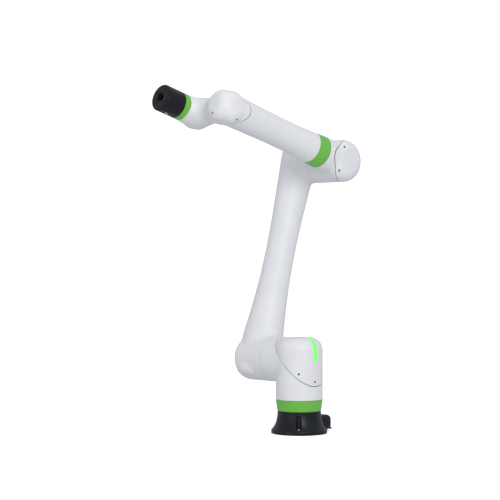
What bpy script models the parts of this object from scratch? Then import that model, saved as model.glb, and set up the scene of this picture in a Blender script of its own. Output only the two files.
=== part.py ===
"""A six-axis collaborative robot arm of 1.42 m reach, posed with its forearm level.

Metres, +Z up. The origin is the centre of the base's mounting face, on the first joint's axis.
+X is the way the forearm points, +Y is to its left, and the upper arm stands on the -Y side.

The arm is a chain of hollow cast housings. Each one turns a right angle from one joint's axis to
the next, and a cap closes its outer corner. Each joint has one strain wave drive: a stator, a
rotor on a hollow shaft and a reducer in the housing before the joint, and an output hub in the
housing after it.
"""

import math

import bmesh
import bpy
from mathutils import Matrix, Vector

# Arm geometry: lengths between the joint axes
SHOULDER_HEIGHT = 0.245
UPPER_ARM = 0.710
FOREARM = 0.540
WRIST_OFFSET = 0.150
TOOL_REACH = 0.160
ARM_SIDE = -0.202

# The pose it is modelled in
LEAN = math.radians(15.5)
FOREARM_RISE = math.radians(16.5)
FOREARM_ROLL = math.radians(3.7)

# Where each pair of housings meets, measured along the joint's axis
J1_SEAM = 0.0760
J2_SEAM = -0.1150
J3_SEAM = -0.0850
J4_SEAM = 0.0990
J5_SEAM = -0.0680
J6_SEAM = 0.0865

# Shell and drive fits
WALL = 0.0050
GAP = 0.0003
FIT = 0.0010
RUNNING = 0.0010

# A barrel's facets are turned a little about its axis, so that no two barrels' edges meet
TWISTS = (0.021, 0.139)

# Housing radii
BASE_RADIUS = 0.0950
BASE_NECK = 0.0740
SHOULDER_RADIUS = 0.0795
ELBOW_RADIUS = 0.0730
FOREARM_RADIUS = 0.0565
WRIST_RADIUS = 0.0500
TOOL_RADIUS = 0.0450
TOP_ROUNDING = 0.0420
RING_RADIUS = 0.0452
RING_TOP = 0.1145

# Mounting bolts
BOLT_CIRCLE = 0.0800
BOLT_HEAD = 0.0065
BOLT_SHANK = 0.0040

ROUND = 24
DRIVE_ROUND = 14
SMALL_ROUND = 8

PAINT = (0.80, 0.81, 0.83, 1.0)
GREEN = (0.15, 0.52, 0.06, 1.0)
LIGHT = (0.19, 0.84, 0.16, 1.0)
BLACK = (0.017, 0.020, 0.024, 1.0)
STEEL = (0.55, 0.56, 0.58, 1.0)
DARK_STEEL = (0.20, 0.21, 0.22, 1.0)
COPPER = (0.60, 0.30, 0.12, 1.0)
ALUMINIUM = (0.70, 0.71, 0.72, 1.0)

for leftover in list(bpy.data.objects):
    bpy.data.objects.remove(leftover)


def material(name, colour, roughness, metallic):
    """A Principled material made once and shared by name."""
    found = bpy.data.materials.get(name)
    if found:
        return found
    made = bpy.data.materials.new(name)
    made.use_nodes = True
    shader = made.node_tree.nodes["Principled BSDF"]
    shader.inputs["Base Color"].default_value = colour
    shader.inputs["Roughness"].default_value = roughness
    shader.inputs["Metallic"].default_value = metallic
    return made


def frame(origin, z_axis, x_axis):
    """A right-handed frame with its Z and X along two perpendicular directions."""
    z = Vector(z_axis).normalized()
    x = Vector(x_axis).normalized()
    y = z.cross(x)
    turn = Matrix((x, y, z)).transposed().to_4x4()
    return Matrix.Translation(origin) @ turn


def body(name, origin):
    """The empty that a moving body hangs from, on its joint's axis."""
    empty = bpy.data.objects.new(name, None)
    empty.empty_display_size = 0.05
    empty.location = origin
    bpy.context.collection.objects.link(empty)
    return empty


def raw(mesh_builder, place):
    """An object from a bmesh in a frame's own coordinates."""
    mesh = bpy.data.meshes.new("raw")
    bmesh.ops.recalc_face_normals(mesh_builder, faces=mesh_builder.faces)
    mesh_builder.to_mesh(mesh)
    mesh_builder.free()
    made = bpy.data.objects.new("raw", mesh)
    made.matrix_world = place
    bpy.context.collection.objects.link(made)
    return made


def turned(profile, place, segments=ROUND, twist=0.0):
    """A solid of revolution. The profile is (radius, height) points, closed when it is a ring."""
    made = bmesh.new()
    points = [made.verts.new((radius, 0.0, height)) for radius, height in profile]
    links = list(zip(points, points[1:]))
    if profile[0][0] > 0.0:
        links.append((points[-1], points[0]))
    edges = [made.edges.new(link) for link in links]
    bmesh.ops.spin(
        made,
        geom=points + edges,
        cent=(0, 0, 0),
        axis=(0, 0, 1),
        angle=2 * math.pi,
        steps=segments,
        use_merge=True,
    )
    bmesh.ops.remove_doubles(made, verts=made.verts, dist=1e-6)
    bmesh.ops.rotate(made, verts=made.verts, matrix=Matrix.Rotation(twist, 3, "Z"))
    return raw(made, place)


def box(low, high, place, bevel=0.0, bevel_segments=2, edges_along=None):
    """A block between two corners, with its edges rounded when a bevel is given."""
    made = bmesh.new()
    bmesh.ops.create_cube(made, size=1.0)
    size = [b - a for a, b in zip(low, high)]
    middle = [(a + b) / 2 for a, b in zip(low, high)]
    bmesh.ops.scale(made, verts=made.verts, vec=size)
    bmesh.ops.translate(made, verts=made.verts, vec=middle)
    if bevel:
        chosen = [e for e in made.edges if edges_along is None or is_along(e, edges_along)]
        bmesh.ops.bevel(
            made,
            geom=chosen,
            offset=bevel,
            segments=bevel_segments,
            profile=0.5,
            affect="EDGES",
        )
    return raw(made, place)


def is_along(edge, axis):
    """Whether an edge runs along one of the coordinate axes."""
    run = edge.verts[1].co - edge.verts[0].co
    return abs(run[axis]) > 0.99 * run.length


def clean(mesh):
    """The mesh with its slivers closed up, ready for the next cut."""
    tidy = bmesh.new()
    tidy.from_mesh(mesh)
    bmesh.ops.remove_doubles(tidy, verts=tidy.verts, dist=2e-5)
    bmesh.ops.dissolve_degenerate(tidy, edges=tidy.edges, dist=2e-5)
    tidy.to_mesh(mesh)
    tidy.free()
    return mesh


def combine(target, tools, operation):
    """The target after a Boolean with each tool; the tools are used up."""
    for tool in tools:
        change = target.modifiers.new("combine", "BOOLEAN")
        change.operation = operation
        change.solver = "EXACT"
        change.object = tool
    bpy.context.view_layer.update()
    evaluated = target.evaluated_get(bpy.context.evaluated_depsgraph_get())
    mesh = bpy.data.meshes.new_from_object(evaluated)
    target.modifiers.clear()
    target.data = clean(mesh)
    for tool in tools:
        bpy.data.objects.remove(tool)
    return target


def copy_of(source):
    """An independent copy of a working object."""
    twin = source.copy()
    twin.data = source.data.copy()
    bpy.context.collection.objects.link(twin)
    return twin


def finish(work, name, parent, look):
    """Names a finished solid, tidies its mesh and hangs it on its body."""
    mesh = work.data
    mesh.transform(work.matrix_world)
    tidy = bmesh.new()
    tidy.from_mesh(mesh)
    bmesh.ops.remove_doubles(tidy, verts=tidy.verts, dist=2e-6)
    bmesh.ops.dissolve_degenerate(tidy, edges=tidy.edges, dist=2e-6)
    bmesh.ops.translate(tidy, verts=tidy.verts, vec=-parent.location)
    tidy.to_mesh(mesh)
    tidy.free()
    mesh.name = name
    mesh.materials.clear()
    mesh.materials.append(look)
    mesh.shade_smooth()
    mesh.set_sharp_from_angle(angle=math.radians(35))
    work.name = name
    work.parent = parent
    work.matrix_parent_inverse = Matrix.Identity(4)
    work.matrix_basis = Matrix.Identity(4)
    return work


def rounded_end(radius, end, edge, steps=3):
    """Profile points for a closed end with a rounded edge, from the side wall to the axis."""
    side = -1.0 if end < 0 else 1.0
    centre = end - side * edge
    points = []
    for step in range(steps + 1):
        angle = math.pi / 2 * step / steps
        reach = radius - edge + edge * math.cos(angle)
        points.append((reach, centre + side * edge * math.sin(angle)))
    return points + [(0.0, end)]


def barrel(outline, end, edge, thinner, place, twist=0.0):
    """A housing's arm about one axis: open at the outline's first point, closed at its end."""
    first_radius, first_height = outline[0]
    walls = [(radius - thinner, height) for radius, height in outline]
    inset = end - math.copysign(thinner, end)
    last = outline[-1][0] - thinner
    closed = rounded_end(last, inset, max(edge - thinner, 0.004))
    mouth = [(0.0, first_height)]
    profile = mouth + walls + [p for p in closed if p[0] != last or p[1] != walls[-1][1]]
    return turned(profile, place, twist=twist)


def elbow(first, second):
    """A hollow right-angled housing, from two barrels given as (outline, end, edge, place)."""
    twists = TWISTS
    skins = [barrel(o, end, edge, 0.0, at, t) for (o, end, edge, at), t in zip((first, second), twists)]
    hollow = []
    for (outline, end, edge, at), twist in zip((first, second), twists):
        sign = math.copysign(1.0, outline[0][1] - end)
        longer = [(outline[0][0], outline[0][1] + sign * 0.02)] + outline[1:]
        hollow.append(barrel(longer, end, edge, WALL, at, twist))
    shell = combine(skins[0], [skins[1]], "UNION")
    void = combine(hollow[0], [hollow[1]], "UNION")
    return combine(shell, [void], "DIFFERENCE")


def split(shell, point, normal):
    """Cuts a shell along a plane into its casing and the cap on the normal's side."""
    across = Vector((0, 0, 1)) if abs(Vector(normal).normalized().z) < 0.9 else Vector((1, 0, 0))
    side = Vector(normal).cross(across)
    place = frame(point, normal, side)
    above = box((-1, -1, -GAP / 2), (1, 1, 1), place)
    below = box((-1, -1, -1), (1, 1, GAP / 2), place)
    cap = combine(copy_of(shell), [below], "DIFFERENCE")
    casing = combine(shell, [above], "DIFFERENCE")
    return casing, cap


def cap_screw(name, parent, place, cap):
    """A countersunk cap screw and the hole it sits in."""
    hole = turned([(0, -0.020), (0.0048, -0.020), (0.0048, 0.020), (0, 0.020)], place, SMALL_ROUND)
    combine(cap, [hole], "DIFFERENCE")
    head = [(0, -0.0040), (0.0042, -0.0040), (0.0042, -0.0008), (0.0022, -0.0008), (0.0018, -0.0022), (0, -0.0022)]
    screw = turned(head, place, SMALL_ROUND)
    finish(screw, name, parent, material("screw_steel", DARK_STEEL, 0.35, 1.0))


def on_rounded_end(centre, axis, start, flat, edge, back, turn, lift):
    """A frame on a barrel's rounded end. The turn is about the axis, the lift is towards its end."""
    side = axis.cross(start)
    radial = math.cos(turn) * start + math.sin(turn) * side
    normal = math.cos(lift) * radial + math.sin(lift) * axis
    spot = centre + back * axis + flat * radial + edge * normal
    return frame(spot, normal, normal.cross(side) if abs(normal.dot(side)) < 0.9 else normal.cross(start))


def drive(joint, seat, parent, child, place, bore, child_bore, depth):
    """One joint's strain wave drive. The frame's Z points to the child, from the running seam."""
    rim = bore - FIT
    hub = 0.70 * rim
    shaft = 0.26 * rim
    magnets = 0.56 * rim
    steel = material("drive_steel", STEEL, 0.30, 1.0)
    casing = material("drive_aluminium", ALUMINIUM, 0.40, 1.0)
    winding = material("winding_copper", COPPER, 0.45, 0.8)
    shaft_steel = material("shaft_steel", DARK_STEEL, 0.35, 1.0)

    reducer = [(hub, -0.0165), (rim, -0.0165), (rim, -seat), (hub, -seat)]
    finish(turned(reducer, place, DRIVE_ROUND), f"{joint}_reducer", parent, steel)

    stator = [(magnets + 0.0010, -depth), (rim, -depth), (rim, -0.0310), (magnets + 0.0010, -0.0310)]
    finish(turned(stator, place, DRIVE_ROUND), f"{joint}_stator", parent, winding)

    inner = 0.965 * hub
    waves = 0.95 * inner - 0.0042
    rotor = [
        (shaft - 0.0030, -depth - 0.0040),
        (shaft + 0.0040, -depth - 0.0040),
        (shaft + 0.0040, -depth + 0.0040),
        (magnets, -depth + 0.0040),
        (magnets, -0.0340),
        (shaft + 0.0040, -0.0340),
        (shaft + 0.0040, -0.0255),
        (waves, -0.0255),
        (waves, -0.0155),
        (shaft - 0.0030, -0.0155),
    ]
    finish(turned(rotor, place, DRIVE_ROUND), f"{joint}_rotor", parent, shaft_steel)

    wide = child_bore - FIT
    output = [
        (shaft - 0.0030, 0.0090),
        (wide, 0.0090),
        (wide, seat + 0.0004),
        (inner, seat + 0.0004),
        (inner, -0.0270),
        (inner - 0.0035, -0.0270),
        (inner - 0.0035, -0.0120),
        (shaft - 0.0030, -0.0120),
    ]
    finish(turned(output, place, DRIVE_ROUND), f"{joint}_output", child, casing)


# Directions and joint centres
ALONG_ARM = Vector((-math.sin(LEAN), 0, math.cos(LEAN)))
ALONG_FOREARM = Vector((math.cos(FOREARM_RISE), 0, math.sin(FOREARM_RISE)))
ABOVE_FOREARM = Vector((-math.sin(FOREARM_RISE), 0, math.cos(FOREARM_RISE)))
X = Vector((1, 0, 0))
Y = Vector((0, 1, 0))
Z = Vector((0, 0, 1))
ALONG_J5 = math.cos(FOREARM_ROLL) * Y + math.sin(FOREARM_ROLL) * ABOVE_FOREARM
ABOVE_J5 = ALONG_FOREARM.cross(ALONG_J5)
J2 = SHOULDER_HEIGHT * Z
J3 = J2 + UPPER_ARM * ALONG_ARM
J5 = J3 + FOREARM * ALONG_FOREARM
WRIST = J5 - WRIST_OFFSET * ALONG_J5

white = material("white_paint", PAINT, 0.38, 0.0)
green = material("green_ring", GREEN, 0.45, 0.0)
glow = material("status_light", LIGHT, 0.30, 0.0)
black = material("black_paint", BLACK, 0.42, 0.0)
rubber = material("black_rubber", BLACK, 0.80, 0.0)
steel_look = material("bolt_steel", STEEL, 0.30, 1.0)
cable_look = material("cable_jacket", BLACK, 0.60, 0.0)

base = body("base", (0, 0, 0))
shoulder = body("shoulder", (0, 0, J1_SEAM))
upper_arm = body("upper_arm", J2 + J2_SEAM * Y)
elbow_body = body("elbow", J3 + J3_SEAM * Y)
forearm = body("forearm", J3 + J4_SEAM * ALONG_FOREARM)
wrist = body("wrist", J5 + J5_SEAM * ALONG_J5)
tool = body("tool", WRIST + J6_SEAM * ALONG_FOREARM)


def build_base():
    """The bolted-down casting with its bolts, and the connector box on its back."""
    upright = Matrix.Identity(4)
    bore = BASE_NECK - 0.0060
    outline = [
        (0.0, 0.0),
        (BASE_RADIUS - 0.0010, 0.0),
        (BASE_RADIUS, 0.0010),
        (BASE_RADIUS, 0.0110),
        (BASE_RADIUS - 0.0030, 0.0145),
        (0.0870, 0.0215),
        (0.0815, 0.0310),
        (0.0775, 0.0430),
        (0.0752, 0.0570),
        (BASE_NECK, J1_SEAM - 0.0020),
        (bore, J1_SEAM - 0.0020),
        (bore, 0.0140),
        (0.0, 0.0140),
    ]
    casting = turned(outline, upright, 48)
    for number in range(4):
        angle = math.pi / 4 + number * math.pi / 2
        spot = Vector((BOLT_CIRCLE * math.cos(angle), BOLT_CIRCLE * math.sin(angle), 0))
        at = Matrix.Translation(spot)
        groove = turned([(0, 0.0120), (0.0095, 0.0120), (0.0095, 0.0620), (0, 0.0660)], at, 16)
        hole = turned([(0, -0.01), (0.0045, -0.01), (0.0045, 0.02), (0, 0.02)], at, SMALL_ROUND)
        combine(casting, [groove, hole], "DIFFERENCE")
        socket = 0.0030
        bolt = [
            (0, 0.0006),
            (BOLT_SHANK, 0.0006),
            (BOLT_SHANK, 0.0123),
            (BOLT_HEAD, 0.0123),
            (BOLT_HEAD, 0.0195),
            (BOLT_HEAD - 0.0006, 0.0203),
            (socket, 0.0203),
            (socket, 0.0163),
            (0, 0.0163),
        ]
        finish(turned(bolt, at, SMALL_ROUND), f"base_bolt_{number + 1}", base, steel_look)
    finish(casting, "base_casting", base, black)
    build_connector()


def build_connector():
    """The connector box on the casting's back, its plate, two sockets and a latch lever."""
    upright = Matrix.Identity(4)
    hood = box((-0.1280, -0.0330, 0.0040), (-0.0600, 0.0330, 0.0560), upright, 0.0110, 3)
    keep_out = turned([(0, -0.01), (BASE_RADIUS + 0.0004, -0.01), (BASE_RADIUS + 0.0004, 0.0115),
                       (BASE_RADIUS - 0.0024, 0.0150), (0.0875, 0.0218), (0.0820, 0.0313),
                       (0.0780, 0.0433), (0.0757, 0.0573), (0.0745, 0.08), (0, 0.08)], upright, 48)
    recess = box((-0.1400, -0.0230, 0.0130), (-0.1180, 0.0230, 0.0470), upright, 0.0040, 2, 0)
    combine(hood, [keep_out, recess], "DIFFERENCE")
    finish(hood, "connector_box", base, black)
    plate = box((-0.1210, -0.0227, 0.0133), (-0.1183, 0.0227, 0.0467), upright, 0.0040, 2, 0)
    sockets = []
    for number, side in enumerate((-0.0115, 0.0115)):
        at = frame((-0.1210, side, 0.0310), -X, Z)
        sockets.append(turned([(0, -0.01), (0.0083, -0.01), (0.0083, 0.02), (0, 0.02)], at, 16))
        barrel_ring = [(0.0060, -0.0020), (0.0080, -0.0020), (0.0080, 0.0050), (0.0060, 0.0050)]
        finish(turned(barrel_ring, at, 16), f"connector_socket_{number + 1}", base, steel_look)
    combine(plate, sockets, "DIFFERENCE")
    finish(plate, "connector_plate", base, material("plate_aluminium", ALUMINIUM, 0.45, 1.0))
    lever = box((-0.1400, -0.0180, 0.0050), (-0.1284, 0.0180, 0.0110), upright, 0.0020, 2)
    finish(lever, "connector_lever", base, black)


def build_shoulder():
    """The vertical housing on the base, its green ring, its cap and the status light."""
    upright = Matrix.Identity(4)
    low = SHOULDER_RADIUS - 0.0055
    ring = [
        (BASE_NECK - 0.0060, J1_SEAM + 0.0006),
        (low, J1_SEAM + 0.0006),
        (low + 0.0008, J1_SEAM + 0.0040),
        (SHOULDER_RADIUS, RING_TOP - 0.0015),
        (SHOULDER_RADIUS, RING_TOP - GAP),
        (BASE_NECK - 0.0060, RING_TOP - GAP),
    ]
    finish(turned(ring, upright), "j1_green_ring", shoulder, green)

    top = SHOULDER_HEIGHT + SHOULDER_RADIUS
    vertical = ([(SHOULDER_RADIUS, RING_TOP)], top, TOP_ROUNDING, upright)
    sideways = ([(0.0775, -J2_SEAM - RUNNING / 2)], -0.0200, 0.040, frame(J2, -Y, X))
    shell = elbow(vertical, sideways)
    casing, cap = split(shell, Vector((0, 0, 0.2410)), Vector((0, 1, 1)))

    groove = light_strip(top, TOP_ROUNDING, 0.0086, 0.0030)
    combine(cap, [groove], "DIFFERENCE")
    strip = light_strip(top, TOP_ROUNDING, 0.0083, 0.0027)
    finish(strip, "status_light", shoulder, glow)
    for number, (turn, height) in enumerate(((2, 0.1770), (45, 0.2045))):
        out = Vector((math.sin(math.radians(turn)), math.cos(math.radians(turn)), 0))
        at = frame(SHOULDER_RADIUS * out + height * Z, out, Z)
        cap_screw(f"shoulder_screw_{number + 1}", shoulder, at, cap)
    finish(casing, "shoulder_casing", shoulder, white)
    finish(cap, "shoulder_cap", shoulder, white)
    bore = BASE_NECK - 0.0060
    drive("j1", 0.0026, base, shoulder, Matrix.Translation((0, 0, J1_SEAM)), bore, bore, 0.0500)


def light_path(top, edge, extra):
    """Points in the Y-Z plane over the shoulder's rounded edge, lifted by extra."""
    points = [(0.0180, top + extra), (0.0300, top + extra)]
    centre = (SHOULDER_RADIUS - edge, top - edge)
    for step in range(1, 8):
        angle = math.pi / 2 * step / 8
        reach = edge + extra
        points.append((centre[0] + reach * math.sin(angle), centre[1] + reach * math.cos(angle)))
    points.append((SHOULDER_RADIUS + extra, top - edge))
    points.append((SHOULDER_RADIUS + extra, 0.2530))
    return points


def light_strip(top, edge, half_width, depth):
    """A ribbon bent over the shoulder's edge, as a solid from just outside to some depth."""
    outer = light_path(top, edge, 0.0006)
    inner = light_path(top, edge, -depth)
    made = bmesh.new()
    loops = []
    for side in (-half_width, half_width):
        ring = outer + inner[::-1]
        loops.append([made.verts.new((side, y, z)) for y, z in ring])
    count = len(loops[0])
    for index in range(count):
        after = (index + 1) % count
        made.faces.new((loops[0][index], loops[0][after], loops[1][after], loops[1][index]))
    half = count // 2
    for loop in loops:
        for index in range(half - 1):
            made.faces.new((loop[index], loop[index + 1], loop[count - 2 - index], loop[count - 1 - index]))
    return raw(made, Matrix.Identity(4))


def build_upper_arm():
    """The long tube with a cross barrel at each end, leaning back from the shoulder."""
    root = J2 + ARM_SIDE * Y
    tube_frame = frame(root, ALONG_ARM, Y)
    waist = [
        (0.0630, 0.7100),
        (0.0585, 0.6100),
        (0.0535, 0.5000),
        (0.0515, 0.3900),
        (0.0535, 0.2800),
        (0.0580, 0.2080),
        (0.0650, 0.1270),
        (0.0700, 0.0800),
        (0.0715, 0.0300),
    ]
    low_barrel = ([(0.0775, J2_SEAM - ARM_SIDE - RUNNING / 2)], -0.0620, 0.034, frame(root, Y, X))
    head = root + UPPER_ARM * ALONG_ARM
    high_outline = [(ELBOW_RADIUS, J3_SEAM - ARM_SIDE - RUNNING / 2), (ELBOW_RADIUS, 0.0600), (0.0630, 0.0050)]
    high_barrel = (high_outline, -0.0400, 0.034, frame(head, Y, X))
    crown = rounded_end(waist[0][0], UPPER_ARM + ELBOW_RADIUS - 0.0020, 0.0400)
    outer_tube = turned(tube_profile(waist, crown, 0.0), tube_frame, twist=TWISTS[0])
    inner_tube = turned(tube_profile(waist, crown, WALL), tube_frame, twist=TWISTS[0])
    outer = [barrel(o, end, edge, 0.0, at, TWISTS[1]) for o, end, edge, at in (low_barrel, high_barrel)]
    inner = []
    for outline, end, edge, at in (low_barrel, high_barrel):
        longer = [(outline[0][0], outline[0][1] + 0.02)] + outline[1:]
        inner.append(barrel(longer, end, edge, WALL, at, TWISTS[1]))
    shell = combine(outer_tube, outer, "UNION")
    void = combine(inner_tube, inner, "UNION")
    shell = combine(shell, [void], "DIFFERENCE")
    low_point = root - 0.0500 * Y - 0.0500 * ALONG_ARM
    shell, low_cap = split(shell, low_point, -Y - ALONG_ARM)
    high_point = head - 0.0170 * Y + 0.0170 * ALONG_ARM
    casing, high_cap = split(shell, high_point, -Y + ALONG_ARM)
    finish(casing, "upper_arm_casing", upper_arm, white)
    finish(low_cap, "upper_arm_lower_cap", upper_arm, white)
    finish(high_cap, "upper_arm_upper_cap", upper_arm, white)
    harness = [(0, 0.1000), (0.0110, 0.1000), (0.0110, 0.6300), (0, 0.6300)]
    finish(turned(harness, tube_frame, SMALL_ROUND), "upper_arm_harness", upper_arm, cable_look)
    seam = J2 + J2_SEAM * Y
    drive("j2", RUNNING, shoulder, upper_arm, frame(seam, -Y, X), 0.0725, 0.0725, 0.0560)


def tube_profile(waist, crown, thinner):
    """The tube's whole outline from its closed foot to its closed top."""
    foot = rounded_end(waist[-1][0] - thinner, -0.0700 + thinner, 0.030 - thinner)
    walls = [(radius - thinner, height) for radius, height in waist[::-1]]
    top = [(max(radius - thinner, 0.0), height - thinner) for radius, height in crown]
    return foot[::-1] + walls[1:-1] + top


def build_elbow():
    """The housing that turns the upper arm's axis into the forearm's, with its corner cap."""
    cross = ([(ELBOW_RADIUS, -J3_SEAM - RUNNING / 2)], -0.0590, 0.038, frame(J3, -Y, X))
    along = ([(FOREARM_RADIUS + 0.0010, J4_SEAM - RUNNING / 2)], -0.0400, 0.030, frame(J3, ALONG_FOREARM, Y))
    shell = elbow(cross, along)
    casing, cap = split(shell, J3 + 0.0190 * Y, -0.5 * ALONG_FOREARM + Y)
    flat = ELBOW_RADIUS - 0.038
    for number, (turn, lift) in enumerate(((46, 62), (144, 50))):
        at = on_rounded_end(J3, Y, ABOVE_FOREARM, flat, 0.038, 0.0210, math.radians(turn), math.radians(lift))
        cap_screw(f"elbow_screw_{number + 1}", elbow_body, at, cap)
    finish(casing, "elbow_casing", elbow_body, white)
    finish(cap, "elbow_cap", elbow_body, white)
    bore = ELBOW_RADIUS - WALL
    drive("j3", RUNNING, upper_arm, elbow_body, frame(J3 + J3_SEAM * Y, Y, X), bore, bore, 0.0560)


def build_forearm():
    """The tube to the wrist with its green ring, its end housing and the cap on that."""
    axis = frame(J3, ALONG_FOREARM, ALONG_J5)
    bore = FOREARM_RADIUS - WALL
    ring = [
        (bore, J4_SEAM + 0.0010),
        (FOREARM_RADIUS, J4_SEAM + 0.0010),
        (FOREARM_RADIUS, J4_SEAM + 0.0080),
        (0.0540, 0.1480),
        (bore - 0.0022, 0.1480),
    ]
    finish(turned(ring, axis), "j4_green_ring", forearm, green)
    outline = [
        (0.0540, 0.1483),
        (0.0508, 0.2200),
        (0.0498, 0.3200),
        (0.0518, 0.4300),
        (0.0540, 0.5300),
    ]
    tube = (outline, FOREARM + 0.0560, 0.034, axis)
    cross_outline = [
        (0.0425, -J5_SEAM - RUNNING / 2),
        (0.0440, 0.0560),
        (0.0490, 0.0420),
        (0.0530, 0.0260),
        (0.0545, 0.0100),
    ]
    cross = (cross_outline, -0.0550, 0.036, frame(J5, -ALONG_J5, ALONG_FOREARM))
    shell = elbow(tube, cross)
    casing, cap = split(shell, J5 + 0.0080 * ALONG_J5, 0.593 * ALONG_FOREARM + 0.805 * ALONG_J5)
    front = on_rounded_end(J5, ALONG_FOREARM, -ABOVE_J5, 0.0200, 0.034, 0.0220, math.radians(-6), math.radians(62))
    under = on_rounded_end(J5, ALONG_J5, -ABOVE_J5, 0.0185, 0.036, 0.0190, math.radians(18), math.radians(46))
    cap_screw("forearm_screw_1", forearm, front, cap)
    cap_screw("forearm_screw_2", forearm, under, cap)
    finish(casing, "forearm_casing", forearm, white)
    finish(cap, "forearm_cap", forearm, white)
    harness = [(0, 0.1720), (0.0100, 0.1720), (0.0100, 0.4700), (0, 0.4700)]
    finish(turned(harness, axis, SMALL_ROUND), "forearm_harness", forearm, cable_look)
    seam = frame(J3 + J4_SEAM * ALONG_FOREARM, ALONG_FOREARM, Y)
    drive("j4", RUNNING, elbow_body, forearm, seam, bore + 0.0010, bore, 0.0540)


def build_wrist():
    """The last housing, from the forearm's side to the tool's axis, with its green ring."""
    along = frame(WRIST, ALONG_FOREARM, ALONG_J5)
    cross_outline = [
        (0.0430, WRIST_OFFSET + J5_SEAM - RUNNING / 2),
        (0.0440, 0.0640),
        (0.0480, 0.0450),
        (WRIST_RADIUS, 0.0250),
    ]
    cross = (cross_outline, -0.0490, 0.038, frame(WRIST, ALONG_J5, ALONG_FOREARM))
    straight = ([(RING_RADIUS, 0.0647), (0.0475, 0.0400), (WRIST_RADIUS, 0.0150)], -0.0500, 0.038, along)
    shell = elbow(cross, straight)
    corner = -ALONG_J5 - ALONG_FOREARM
    casing, cap = split(shell, WRIST + 0.0080 * corner, corner)
    finish(casing, "wrist_casing", wrist, white)
    finish(cap, "wrist_cap", wrist, white)
    bore = RING_RADIUS - WALL
    ring = [(bore, 0.0650), (RING_RADIUS, 0.0650), (RING_RADIUS, J6_SEAM - RUNNING), (bore, J6_SEAM - RUNNING)]
    finish(turned(ring, along), "j6_green_ring", wrist, green)
    seam = frame(J5 + J5_SEAM * ALONG_J5, -ALONG_J5, ALONG_FOREARM)
    drive("j5", RUNNING, forearm, wrist, seam, 0.0375, 0.0380, 0.0500)


def screw_holes(along, face):
    """Cutters for the four screw holes in the tool's face."""
    holes = []
    for number in range(4):
        angle = math.pi / 4 + number * math.pi / 2
        spot = along @ Vector((0.0250 * math.cos(angle), 0.0250 * math.sin(angle), face))
        at = frame(spot, ALONG_FOREARM, ALONG_J5)
        holes.append(turned([(0, -0.0110), (0.0030, -0.0110), (0.0030, 0.01), (0, 0.01)], at, SMALL_ROUND))
    return holes


def build_tool():
    """The black tool housing with its service port, and the flange ring with four threaded holes."""
    along = frame(WRIST, ALONG_FOREARM, ALONG_J5)
    bore = RING_RADIUS - WALL
    face = TOOL_REACH
    seat = face - 0.0060
    outline = [
        (bore, J6_SEAM + RUNNING),
        (TOOL_RADIUS, J6_SEAM + RUNNING),
        (TOOL_RADIUS, seat),
        (0.0100, seat),
        (0.0100, face - 0.0140),
        (bore, face - 0.0140),
    ]
    housing = turned(outline, along, 40)
    port = frame(along @ Vector((0, 0, 0.1250)) - TOOL_RADIUS * ABOVE_J5, -ABOVE_J5, ALONG_J5)
    port_hole = turned([(0, -0.02), (0.0072, -0.02), (0.0072, 0.01), (0, 0.01)], port, 16)
    combine(housing, [port_hole] + screw_holes(along, face), "DIFFERENCE")
    finish(housing, "tool_housing", tool, black)
    ring = [
        (0.0158, seat + GAP),
        (TOOL_RADIUS, seat + GAP),
        (TOOL_RADIUS - 0.0018, face - 0.0018),
        (TOOL_RADIUS - 0.0060, face),
        (0.0158, face),
    ]
    flange = turned(ring, along, 40)
    combine(flange, screw_holes(along, face), "DIFFERENCE")
    finish(flange, "tool_flange", tool, black)
    plug = [(0.0045, -0.0070), (0.0069, -0.0070), (0.0069, 0.0015), (0.0045, 0.0015)]
    finish(turned(plug, port, 16), "tool_port", tool, steel_look)
    seam = frame(WRIST + J6_SEAM * ALONG_FOREARM, ALONG_FOREARM, ALONG_J5)
    drive("j6", RUNNING + 0.0006, wrist, tool, seam, bore, bore, 0.0500)


build_base()
build_shoulder()
build_upper_arm()
build_elbow()
build_forearm()
build_wrist()
build_tool()
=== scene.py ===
"""Looks of a jointed robot arm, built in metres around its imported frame, +Z up."""

import math

import bmesh
import bpy
import numpy as np
from mathutils import Matrix, Vector


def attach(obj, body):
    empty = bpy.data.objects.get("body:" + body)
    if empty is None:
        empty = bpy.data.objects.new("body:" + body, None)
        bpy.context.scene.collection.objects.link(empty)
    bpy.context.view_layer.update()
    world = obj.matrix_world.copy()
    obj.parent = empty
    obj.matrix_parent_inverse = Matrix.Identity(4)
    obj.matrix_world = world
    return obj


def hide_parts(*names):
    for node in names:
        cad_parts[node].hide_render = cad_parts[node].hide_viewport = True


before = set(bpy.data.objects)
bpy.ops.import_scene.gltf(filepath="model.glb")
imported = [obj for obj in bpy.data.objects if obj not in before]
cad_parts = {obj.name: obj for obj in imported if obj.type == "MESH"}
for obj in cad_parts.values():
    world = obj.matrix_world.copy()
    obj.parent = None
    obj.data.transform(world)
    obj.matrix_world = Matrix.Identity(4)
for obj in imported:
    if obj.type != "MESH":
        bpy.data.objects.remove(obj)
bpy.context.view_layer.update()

# Links and seams, as the frame has them
SHOULDER_HEIGHT = 0.245
UPPER_ARM = 0.710
FOREARM = 0.540
WRIST_OFFSET = 0.150
TOOL_REACH = 0.160
ARM_SIDE = -0.202
LEAN = math.radians(15.5)
FOREARM_RISE = math.radians(16.5)
FOREARM_ROLL = math.radians(3.7)
RING_TOP = 0.1145         # the first joint's ring ends here, below the shoulder's housing
SHOULDER_RADIUS = 0.0795
SHOULDER_EDGE = 0.0420    # rounding of the shoulder's top
SHOULDER_TOP = SHOULDER_HEIGHT + SHOULDER_RADIUS
FLANGE_RADIUS = 0.0450
FLANGE_THICKNESS = 0.0060
SCREW_CIRCLE = 0.0250     # radius of the circle that the tool's screw holes are on

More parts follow.
